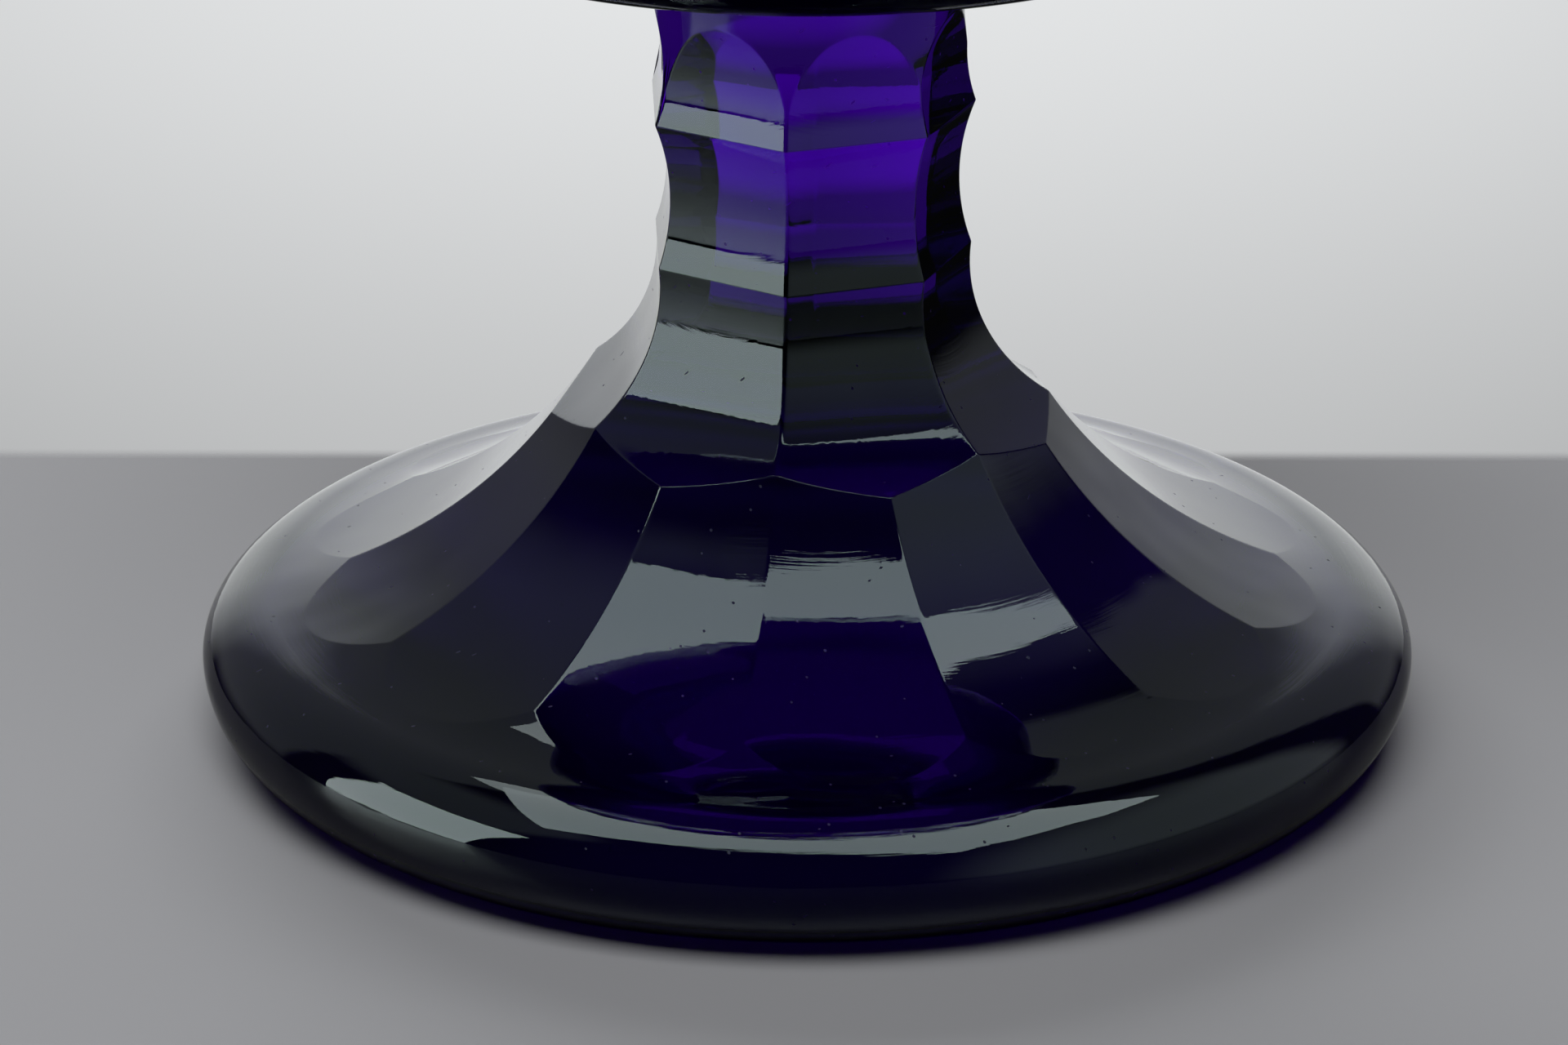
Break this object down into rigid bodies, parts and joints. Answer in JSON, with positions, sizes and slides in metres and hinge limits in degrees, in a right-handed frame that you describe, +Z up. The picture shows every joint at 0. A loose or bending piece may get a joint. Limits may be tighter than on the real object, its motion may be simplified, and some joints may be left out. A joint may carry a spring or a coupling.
{
  "type": "footed glass bowl",
  "caption": "Round bowl of deep violet cut glass on a short panelled stem and a fluted disc foot with a thick rounded edge.",
  "frame": {"origin": "middle of the underside of the foot", "axes": "+Z up along the axis of the bowl, -Y towards the viewer in the picture"},
  "size_m": [0.12, 0.12, 0.1377],
  "materials": {
    "violet_glass": "cut and polished, deep violet"
  },
  "bodies": {
    "root": {"foot": "violet_glass", "stem": "violet_glass", "joining_wafer": "violet_glass", "bowl": "violet_glass"}
  },
  "joints": []
}
